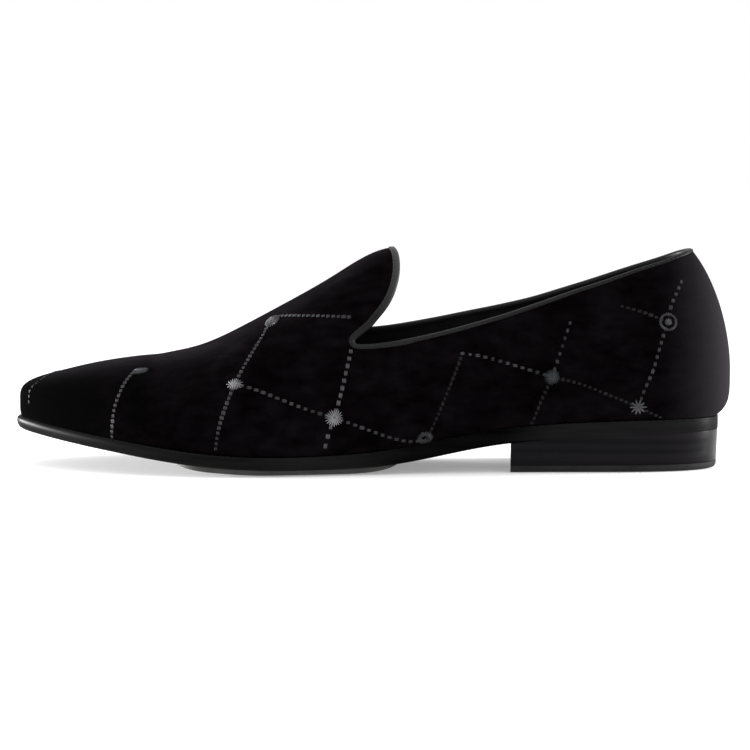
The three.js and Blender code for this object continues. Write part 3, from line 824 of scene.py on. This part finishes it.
blur = binding["blur"]
edge = evenly(openingLoop(), binding["spacing"], binding["turnStep"])[:-1]
edge, edgeOut = nearestOn(wallTree, blurred(edge, blur["edge"]))
edgeOut = unit(blurred(edgeOut, blur["outward"]))
edgeAlong = unit(np.roll(edge, -1, 0) - np.roll(edge, 1, 0))
edgeUp = unit(np.cross(edgeOut, edgeAlong))
raised = np.interp(edge[:, 2], binding["tongueFrom"], (0, 1))
widening = blurred(raised * (edge[:, 0] > binding["tongueBack"]), blur["widening"])
reach = binding["depth"] + (binding["tongueDepth"] - binding["depth"]) * widening
low = edge - edgeUp * reach[:, None]
lowAt, lowOut = nearestOn(wallTree, low)
lowDrop = ((low - lowAt) * lowOut).sum(1)
lowOut = unit(blurred(lowOut, blur["lower"]))
print("opening traced", len(edge), "stations, drop up to", round(float(lowDrop.max()), 2), "mm")


# Points beside the opening's edge: outward from the wall, and down from the edge.
def onWall(outward, down):
    down = np.broadcast_to(down, reach.shape)[:, None]
    part = down / reach[:, None]
    way = unit(edgeOut + (lowOut - edgeOut) * part)
    return edge - edgeUp * down - edgeOut * lowDrop[:, None] * part**2 + way * outward


def bindingProfile():
    proud, slack, arch = binding["proud"], binding["slack"], binding["archDepth"]
    middle = last["wall"] / 2
    flank = [
        (outShare * proud + out, downShare * reach + down)
        for outShare, out, downShare, down in binding["flank"]
    ]
    top = [
        (-middle + (middle + proud) * math.cos(angle), arch - arch * math.sin(angle))
        for angle in np.linspace(0, math.pi, binding["archPoints"])
    ]
    inner = [(-last["wall"] - out, down) for out, down in reversed(flank)]
    seat = [(-last["wall"] - slack, binding["seatDepth"]), (slack, binding["seatDepth"])]
    return flank + top + inner + seat


rings = np.stack([onWall(outward, down) for outward, down in bindingProfile()], 1)
stations, around = rings.shape[:2]
bindingFaces = gridFaces(stations + 1, around)[:, [0, 3, 2, 1]] % (stations * around)
collarBinding = makePiece(
    "binding", rings.reshape(-1, 3), bindingFaces, [finishes["binding"]], sharp=50
)
print("binding made", len(collarBinding.data.polygons))

sole = {
    "edgeRound": 2.2,
    "inset": [1, 0.42, 0.08, 0, 0.12, 0.36],
    "up": [0, 0.14, 0.4, 0.64, 0.86, 1],
    "fanShare": 0.12,
    "stepsPerSection": 10,
    "edgeSteps": 4,
}
sock = {
    "thickness": 3,
    "rows": [(0, 0), (0, 0.55), (0.12, 0.78), (0.4, 0.93), (0.9, 1)],  # inset in mm, share up
    "stepsPerSection": 8,
    "stitchInset": 4,
    "stitchRise": 0.06,
}
tread = {
    "length": 89.8,
    "front": 70.9,
    "inset": 6,
    "corner": 9,
    "skive": 14,
    "skivedShare": 0.45,
    "steps": 72,
    "rows": [(0.35, 0), (0.1, 0.06), (0, 0.2), (0, 1)],
}
heel = {
    "length": 89.2,
    "skew": 3.7,  # how much shorter on the inner side
    "seam": 0.03,
    "inset": 0.2,
    "taper": 0.5,
    "hollow": 3,
    "lift": 2.8,
    "liftRound": 1.3,
    "corner": 1.1,
    "bevel": 0.35,
    "steps": 90,
    "breastPoints": 25,
}
treadFront = soleTip - tread["front"]
treadBack = treadFront - tread["length"]
flatParts = (1, 0.9, 0.75, 0.5, 0.25, 0.08)  # shares of the way from an edge to the middle line


def middleOf(loop):  # for each point of a loop, where it meets the middle line
    middle = (loop + loop[(-np.arange(len(loop))) % len(loop)]) / 2
    back, front = loop[0, 0], loop[len(loop) // 2, 0]
    fan = sole["fanShare"] * (front - back)
    ahead = np.maximum(0, (middle[:, 0] - front) / (2 * fan) + 1)
    behind = np.maximum(0, (back - middle[:, 0]) / (2 * fan) + 1)
    middle[:, 0] += fan * (behind**2 - ahead**2)
    return middle


def slab(name, loop, edgeRows, floor, roof, materials, edgeZone=0, flatZone=0, sharp=35):
    rings = []
    zones = []

    def addRing(inset, part, up, zone):
        plan = loop(inset)
        plan = plan + (middleOf(plan) - plan) * part
        low = floor(plan[:, 0])
        rings.append(np.column_stack([plan, low + (roof(plan[:, 0]) - low) * up]))
        zones.append(zone)

    for part in flatParts:
        addRing(edgeRows[0][0], part, 0, flatZone)
    for row, (inset, up) in enumerate(edgeRows):
        addRing(inset, 0, up, flatZone if row + 1 == len(edgeRows) else edgeZone)
    for part in flatParts[::-1]:
        addRing(edgeRows[-1][0], part, 1, flatZone)
    around = len(rings[0])
    faceZones = np.repeat(zones[:-1], around)
    faces = gridFaces(len(rings), around)
    return makePiece(name, np.vstack(rings), faces, materials, faceZones, sharp)


def soleLoop(inset):
    place, side = ringOf(sole["stepsPerSection"])
    return outlineAt(place, side, inset * np.maximum(0, share["edging"](place)))[0]


def floorOf(x):
    return undersideAt(placeOf(x))


def roofOf(x):
    return soleTopAt(placeOf(x))


edgeRows = smoothPath(np.column_stack([sole["inset"], sole["up"]]), sole["edgeSteps"])
edgeRows[:, 0] *= sole["edgeRound"]
outsole = slab(
    "leather_outsole", soleLoop, edgeRows, floorOf, roofOf,
    [finishes["soleEdge"], finishes["soleBottom"]], 0, 1, 45,
)


def sockLoop(inset):
    place, side = ringOf(sock["stepsPerSection"])
    margin = last["weltMargin"] * share["margin"](place)
    return outlineAt(place, side, margin + last["wall"] + last["gap"] + inset)[0]


sockLining = slab(
    "sock_lining", sockLoop, sock["rows"],
    lambda x: roofOf(x) + last["gap"],
    lambda x: roofOf(x) + last["gap"] + sock["thickness"],
    [finishes["sock"]],
)


def treadLoop(inset):
    steps = tread["steps"]
    run = (treadFront - treadBack) * (1 - np.cos(math.pi * np.arange(steps + 1) / steps)) / 2
    x = treadBack + run
    inside = np.maximum(0, tread["corner"] - np.minimum(x - treadBack, treadFront - x))
    corner = tread["corner"] - np.sqrt(np.maximum(0, tread["corner"] ** 2 - inside**2))
    narrowing = tread["inset"] + corner + inset
    outer, inner = [
        np.column_stack([x, last["ballWidth"] * share[name](placeOf(x)) - side * narrowing])
        for name, side in (("outer", 1), ("inner", -1))
    ]
    ends = [(outer[i] + inner[i]) / 2 for i in (0, -1)]
    return np.vstack([ends[:1], outer, ends[1:], inner[::-1]])


def treadFloor(x):
    fromEnd = np.minimum(np.minimum(x - treadBack, treadFront - x), tread["skive"])
    depth = last["treadDepth"] * (1 - tread["skivedShare"] * (1 - fromEnd / tread["skive"]) ** 2)
    return np.maximum(0, floorOf(x) - depth)


forefootTread = slab(
    "rubber_tread", treadLoop, tread["rows"], treadFloor, lambda x: floorOf(x) - last["gap"],
    [finishes["treadSide"], finishes["studs"]], 0, 1,
)


def heelLoop(inset):
    steps = heel["steps"]
    lines = []
    for side, length in ((1, heel["length"]), (-1, heel["length"] - heel["skew"])):
        place = placeOf(soleBack + length) * np.arange(steps + 1) / steps
        lines.append(outlineAt(place, np.full(steps + 1, side), heel["inset"] + inset)[0])
    outer, inner = lines

    def across(part):
        point = outer[-1] + (inner[-1] - outer[-1]) * part
        return point - [heel["hollow"] * (1 - (2 * part - 1) ** 2), 0]

    cut = heel["corner"] / np.linalg.norm(outer[-1] - inner[-1])
    breast = np.array([across(part) for part in np.linspace(cut, 1 - cut, heel["breastPoints"])])

    def cornered(line, end):  # a line that stops short of its corner, and the rounding after it
        kept = line[np.linalg.norm(line - line[-1], axis=1) > heel["corner"]]
        bend = [
            (1 - t) ** 2 * kept[-1] + 2 * t * (1 - t) * line[-1] + t**2 * end
            for t in (0.25, 0.5, 0.75)
        ]
        return kept, np.array(bend)

    outer, outerBend = cornered(outer, breast[0])
    inner, innerBend = cornered(inner, breast[-1])
    return np.vstack([outer, outerBend, breast, innerBend[::-1], inner[:0:-1]])


taper = heel["taper"]
blockRows = [(taper + heel["bevel"], 0), (taper + 0.1, 0.012), (taper, 0.03)]
blockRows += [(taper * (1 - up), up) for up in (0.25, 0.5, 0.75, 0.98)] + [(0.03, 1)]
heelBlock = slab(
    "stacked_heel_block", heelLoop, blockRows,
    lambda x: np.full(len(x), heel["lift"] + heel["seam"]),
    lambda x: floorOf(x) - heel["seam"],
    [finishes["stack"]],
)
rounding = ((1, 0), (0.5, 0.08), (0.2, 0.25), (0, 0.6), (0, 0.93))
liftRows = [(taper + part * heel["liftRound"], up) for part, up in rounding] + [(taper + 0.2, 1)]
topLift = slab(
    "rubber_top_lift", heelLoop, liftRows,
    lambda x: np.zeros(len(x)), lambda x: np.full(len(x), heel["lift"]),
    [finishes["liftSide"], finishes["studs"]], 0, 1,
)
print("sole and heel made")


def stitchTree():
    tree = bpy.data.node_groups.new("thread_stitches", "GeometryNodeTree")
    face = tree.interface
    for kind, names in {
        "Geometry": ["Path"],
        "Float": ["Pitch", "Along", "Across", "Height", "Slant"],
        "Int": ["Strands"],
        "Material": ["Thread"],
    }.items():
        for name in names:
            face.new_socket(name, in_out="INPUT", socket_type="NodeSocket" + kind)
    face.new_socket("Stitches", in_out="OUTPUT", socket_type="NodeSocketGeometry")
    given = addNode(tree, "NodeGroupInput").outputs

    def node(kind, inputs=None, **settings):
        return addNode(tree, kind, inputs, **settings).outputs[0]

    def vector(x, y, z):
        return node("ShaderNodeCombineXYZ", {0: x, 1: y, 2: z})

    ball = node("GeometryNodeMeshUVSphere", {"Segments": 6, "Rings": 4, "Radius": 0.5})
    width = maths("DIVIDE", given["Across"], given["Strands"])
    size = vector(given["Along"], maths("MULTIPLY", width, 1.25), given["Height"])
    strand = node("GeometryNodeTransform", {"Geometry": ball, "Scale": size})
    between = maths("SUBTRACT", given["Across"], width)
    line = {
        "Count": given["Strands"],
        "Start Location": vector(0, maths("MULTIPLY", between, -0.5), 0),
        "Offset": vector(0, width, 0),
    }
    row = node("GeometryNodeMeshLine", line)
    bundle = node("GeometryNodeInstanceOnPoints", {"Points": row, "Instance": strand})
    slant = vector(0, 0, given["Slant"])
    slanted = node("GeometryNodeTransform", {"Geometry": bundle, "Rotation": slant})
    curve = node("GeometryNodeMeshToCurve", {"Mesh": given["Path"]})
    pitch = {"Curve": curve, "Length": given["Pitch"]}
    spaced = node("GeometryNodeResampleCurve", pitch, mode="LENGTH")
    named = {"Name": "outward"}
    outward = node("GeometryNodeInputNamedAttribute", named, data_type="FLOAT_VECTOR")
    upright = node("FunctionNodeAlignRotationToVector", {"Vector": outward}, axis="Z")
    heading = {"Rotation": upright, "Vector": node("GeometryNodeInputTangent")}
    turned = node("FunctionNodeAlignRotationToVector", heading, axis="X", pivot_axis="Z")
    limits = {"Min": (0.72, 0.8, 0.8), "Max": (1.12, 1.15, 1.1), "Seed": 7}
    uneven = node("FunctionNodeRandomValue", limits, data_type="FLOAT_VECTOR")
    placed = {"Points": spaced, "Instance": slanted, "Rotation": turned, "Scale": uneven}
    sewn = node("GeometryNodeInstanceOnPoints", placed)
    real = node("GeometryNodeRealizeInstances", {"Geometry": sewn})
    smooth = node("GeometryNodeSetShadeSmooth", {"Geometry": real})
    threaded = {"Geometry": smooth, "Material": given["Thread"]}
    done = node("GeometryNodeSetMaterial", threaded)
    addNode(tree, "NodeGroupOutput", {"Stitches": done})
    return tree


stitches = stitchTree()


# The pitch and a stitch's size along, across and up are in mm, and the slant is in degrees.
def sew(name, paths, thread, pitch, along, across, height, slant=0.0, strands=1):
    points, outward, edges = [], [], []
    for path, normals, closed in paths:
        start = len(points)
        points += path.tolist()
        outward += normals.tolist()
        edges += [(start + i, start + i + 1) for i in range(len(path) - 1)]
        if closed:
            edges.append((len(points) - 1, start))
    mesh = bpy.data.meshes.new(name)
    mesh.from_pydata(inFrame(points), edges, [])
    ways = mesh.attributes.new("outward", "FLOAT_VECTOR", "POINT")
    ways.data.foreach_set("vector", np.ravel(outward))
    piece = addObject(name, mesh)
    maker = piece.modifiers.new("stitches", "NODES")
    maker.node_group = stitches
    names = {
        item.name: item.identifier
        for item in stitches.interface.items_tree
        if item.item_type == "SOCKET" and item.in_out == "INPUT"
    }
    sizes = {"Pitch": pitch, "Along": along, "Across": across, "Height": height}
    for key, value in sizes.items():
        maker[names[key]] = value / 1000
    maker[names["Slant"]] = math.radians(slant)
    maker[names["Strands"]] = strands
    maker[names["Thread"]] = finishes[thread]
    graph = bpy.context.evaluated_depsgraph_get()
    baked = bpy.data.meshes.new_from_object(piece.evaluated_get(graph), depsgraph=graph)
    baked.materials.clear()  # an empty slot stands before the thread's own
    baked.materials.append(finishes[thread])
    piece.modifiers.clear()
    piece.data = baked
    return piece


def joined(name, pieces):
    work = bmesh.new()
    for piece in pieces:
        work.from_mesh(piece.data)
    mesh = bpy.data.meshes.new(name)
    work.to_mesh(mesh)
    work.free()
    mesh.materials.append(pieces[0].data.materials[0])
    for piece in pieces:
        bpy.data.objects.remove(piece)
    return addObject(name, mesh)


dashSets = {  # thread, pitch, length, width and height in mm, slant in degrees
    "bold": ("grey", 3, 2.3, 1.45, 0.5, 9),
    "close": ("dull_grey", 2.1, 2.1, 1.35, 0.45, 12),
    "open": ("dull_grey", 3, 2.3, 1.25, 0.42, 10),
    "faint": ("faint", 2.2, 2.2, 1.15, 0.38, 12),
}
lattice = {
    "strands": 3,
    "proud": 0.06,  # mm above the pile
    "clear": 3.1,  # mm kept from the opening's edge
    "pathSteps": 12,
    "ringPoints": 24,
    "beside": 90,  # mm, where a straight look from the side starts
    "above": 150,
}
# Lines of dashes, as points along the shoe and up it, seen from the outer side. A third value
# is where a line crosses the top of the vamp.
latticeLines = [
    ("faint", [(138.6, 36), (141.5, 33.9), (143.2, 31.4), (143.6, 26.8)], 133),
    ("close", [(97.2, 41.1), (100.7, 36.6), (103.1, 30.8), (104.7, 25.2), (105.6, 15)]),
    ("close", [(41.1, 61.8), (45.6, 54.1), (55.1, 37.1), (58.1, 29.7)]),
    ("close", [(58.1, 29.7), (60.6, 22.2), (62, 15.8), (62.6, 11.5)]),
    ("open", [(55.1, 37.1), (48.1, 35.4), (38.1, 31.7), (27.6, 27.6), (15.2, 23.5)]),
    ("close", [(41.4, 62.8), (39.2, 63.3), (29.5, 63.9), (19.1, 63.9), (9.3, 63.6)]),
    ("bold", [(15.2, 23.5), (12.8, 31.8), (10.4, 41.8), (8.5, 50)]),
    ("bold", [(15.2, 23.5), (17.2, 17.9), (18.7, 12.2)]),
    ("open", [(15.2, 23.5), (8, 20.9), (0.8, 18.1), (-8.1, 14.9), (-15.5, 13.3), (-21.6, 13.8)]),
    ("faint", [(-22.4, 14.6), (-25.2, 20.4), (-28, 26.8), (-32.5, 37.7), (-36.8, 48.8)]),
    ("open", [(-36.8, 48.8), (-43.9, 47.8), (-54.1, 45.1), (-64.3, 42), (-73.3, 39.2)]),
    ("open", [(-73.3, 39.2), (-75.7, 46.1), (-77.6, 51.7), (-80.8, 61)]),
    ("faint", [(-73.3, 39.2), (-68.4, 28.2), (-65.3, 20.3)]),
    ("faint", [(-73.3, 39.2), (-84.7, 36.4), (-96.9, 31.7), (-108.4, 26.9), (-117.7, 22.6)]),
    ("open", [(-108.8, 27.3), (-110.3, 32.3), (-114.4, 42), (-116.9, 50.1), (-120.5, 61.4)]),
    ("open", [(-120.5, 61.4), (-122.3, 67.8), (-127.1, 77.5)]),
    ("faint", [(-120.5, 61.4), (-111.4, 65.1), (-102.1, 67.7)]),
]
# A rosette at each crossing: its place, its thread, the radius of its ring, the length and
# spacing of its rays, how tall it is for its width, and the radius of its heart.
rosettes = [
    ((94.8, 41.2), "slate", 2.2, 2.2, 0.6, 0.8, 0.8),
    ((55.1, 37.1), "silver", 2.2, 2.4, 0.65, 0.5, 1),
    ((40.9, 61.5), "pewter", 2.1, 2.3, 0.7, 1.8, 0.9),
    ((15.2, 23.5), "silver", 2.3, 2.7, 0.7, 0.85, 1.2),
    ((-21.6, 14.6), "pewter", 2.4, 1.9, 0.6, 0.8, 0),
    ((-73.3, 39.2), "slate", 1.9, 2.4, 0.6, 1, 1),
    ((-108.4, 26.9), "pewter", 1.9, 2.8, 1.2, 0.85, 1),
    ((-120.9, 61.4), "pewter", 3.3, 1.1, 0.6, 1, 0.8),
]
rosetteStitches = {
    "proud": 0.16,
    "height": 0.5,
    "along": 0.8,  # of the spacing of its rays
    "heart": (0.5, 0.6, 1.5, 0.75),
}
seams = {  # pitch, length, width and height in mm
    "binding": (2.4, 1.9, 0.42, 0.3),
    "bindingInset": 0.5,  # mm up from the binding's lower edge
    "sock": (3, 2.3, 0.5, 0.4),
}


def lookFor(start, way):  # where a straight look meets the wall
    hit = wallTree.ray_cast(Vector(start), Vector(way))[0]
    return np.array(hit[:]) if hit else None


def fromSide(x, z, side):
    return lookFor((x, side * lattice["beside"], z), (0, -side, 0))


def seated(points, proud):  # moves points onto the wall, a little proud of it
    points, normals = nearestOn(wallTree, points)
    for _ in range(4):
        normals[1:-1] = (normals[:-2] + 2 * normals[1:-1] + normals[2:]) / 4
    normals = unit(normals)
    return points + normals * proud, normals


def latticePaths(side, wanted):
    paths = []
    for kind, seen, *ridge in latticeLines:
        if kind != wanted:
            continue
        points = [fromSide(x, z, side) for x, z in seen]
        points = [p for p in points if p is not None]
        if ridge:
            start = points[0][:2]
            end = np.array([ridge[0], float(spineAt(np.array(ridge[0]))[1])])
            spots = [start + (end - start) * part for part in (1, 0.75, 0.5, 0.25)]
            tops = [lookFor((*spot, lattice["above"]), (0, 0, -1)) for spot in spots]
            points = tops + points
        curve = smoothPath(points, lattice["pathSteps"]) if len(points) > 1 else np.array(points)
        curve, normals = seated(curve, lattice["proud"])
        keep = openingLevel(curve) < -lattice["clear"]
        if keep.sum() > 2:
            paths.append((curve[keep], normals[keep], False))
    return paths


def ringOn(centre, radius, tall):  # an oval on the wall, level with the sole
    normal = wallTree.find_nearest(Vector(centre))[1]
    along = (Vector((1, 0, 0)) - normal * normal.x).normalized()
    up = normal.cross(along)
    turns = np.linspace(0, 2 * math.pi, lattice["ringPoints"] + 1)[:-1]
    points = [
        Vector(centre) + radius * (along * math.cos(a) + up * tall * math.sin(a)) for a in turns
    ]
    return (*seated(points, rosetteStitches["proud"]), True)


dashes = []
for kind, dashSet in dashSets.items():
    paths = latticePaths(1, kind) + latticePaths(-1, kind)
    dashes.append(sew(kind + "_dashes", paths, *dashSet, lattice["strands"]))
medallions = {"silver": [], "pewter": [], "slate": []}
for at, thread, radius, ray, pitch, tall, heart in rosettes:
    rays = (pitch, rosetteStitches["along"] * pitch, ray, rosetteStitches["height"])
    for side in (1, -1):
        spot = fromSide(*at, side)
        medallions[thread].append(sew("rays", [ringOn(spot, radius, tall)], thread, *rays))
        if heart:
            middle = ringOn(spot, heart, tall)
            medallions[thread].append(sew("heart", [middle], thread, *rosetteStitches["heart"]))
roses = [joined(thread + "_rosettes", pieces) for thread, pieces in medallions.items()]

seam = onWall(binding["proud"] + binding["slack"], reach - seams["bindingInset"])
bindingSeam = sew("binding_stitches", [(seam, lowOut, True)], "black", *seams["binding"])
plan = sockLoop(sock["stitchInset"])
sockTop = roofOf(plan[:, 0]) + last["gap"] + sock["thickness"] + sock["stitchRise"]
sockLine = np.column_stack([plan, sockTop])
upward = np.tile([0.0, 0.0, 1.0], (len(sockLine), 1))
sockSeam = sew("sock_stitches", [(sockLine, upward, True)], "black", *seams["sock"])
print("stitches sewn")

dressed = [
    (velvetShell, "velvet", "upper"),
    (lining, "sock_lining", None),
    (collarBinding, "binding", "collar_binding"),
    (outsole, "sole", "outsole"),
    (sockLining, "sock_lining", "insole"),
    (forefootTread, "tread_rubber", "forefoot_tread"),
    (heelBlock, "heel_stack", "heel_block"),
    (topLift, "tread_rubber", "top_lift"),
    (bindingSeam, "binding", None),
    (sockSeam, "sock_lining", None),
]
dressed += [(piece, "velvet", None) for piece in dashes + roses]
for piece, slot, node in dressed:
    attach(piece, "root")
    if node:
        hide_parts(node)

stage = {
    "floor": (0.76, 0.76, 0.76),
    "cloudy": ((0.75, 0.75, 0.75), (0.77, 0.77, 0.77)),
    "glow": 0.28,
    "halfWidth": 30,  # m
    "depth": -0.0002,
    "world": 1.0,
}
lights = [  # name, place, target, width, height, power
    ("overhead", (0, 0.15, 1.5), (0, 0, 0.05), 1.6, 1.0, 5),
    ("heelSide", (-1.25, -0.2, 0.28), (-0.1, 0, 0.04), 0.3, 0.5, 24),
    ("toeSide", (1.15, -0.36, 0.1), (0.14, 0, 0.015), 0.8, 0.22, 56),
]
view = {
    "place": (-0.00131, 0.99912, 0.105),
    "target": (-0.00131, -0.00088, 0.0377),
    "lens": 114.2,
    "sensor": 36,
    "clip": (0.05, 20),
}


def makeStage():
    material, surface, spot = newFinish(
        "pale_floor", stage["floor"], 0.8, Specular_IOR_Level=0.1,
        Emission_Color=(1, 1, 1, 1), Emission_Strength=stage["glow"],
    )
    wire(surface, Base_Color=tint(noise(spot, 120), *stage["cloudy"]))
    half = stage["halfWidth"]
    quarters = ((-1, -1), (1, -1), (1, 1), (-1, 1))
    corners = [(x * half, y * half, stage["depth"]) for x, y in quarters]
    mesh = bpy.data.meshes.new("floor")
    mesh.from_pydata(corners, [], [(0, 1, 2, 3)])
    mesh.materials.append(material)
    addObject("floor", mesh)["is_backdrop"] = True


def aim(thing, place, target):
    thing.location = place
    way = Vector(target) - Vector(place)
    thing.rotation_euler = way.to_track_quat("-Z", "Y").to_euler()


makeStage()
world = bpy.data.worlds.new("studio")
world.use_nodes = True
background = world.node_tree.nodes["Background"]
background.inputs["Color"].default_value = (1, 1, 1, 1)
background.inputs["Strength"].default_value = stage["world"]
scene.world = world
for name, place, target, width, height, power in lights:
    light = bpy.data.lights.new(name, "AREA")
    light.shape = "RECTANGLE"
    light.size, light.size_y, light.energy = width, height, power
    aim(addObject(name, light), place, target)

camera = addObject("camera", bpy.data.cameras.new("camera"))
camera.data.lens = view["lens"]
camera.data.sensor_width = view["sensor"]
camera.data.clip_start, camera.data.clip_end = view["clip"]
aim(camera, view["place"], view["target"])
scene.camera = camera
scene.view_settings.view_transform = "Standard"
print("stage set")

low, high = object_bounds()
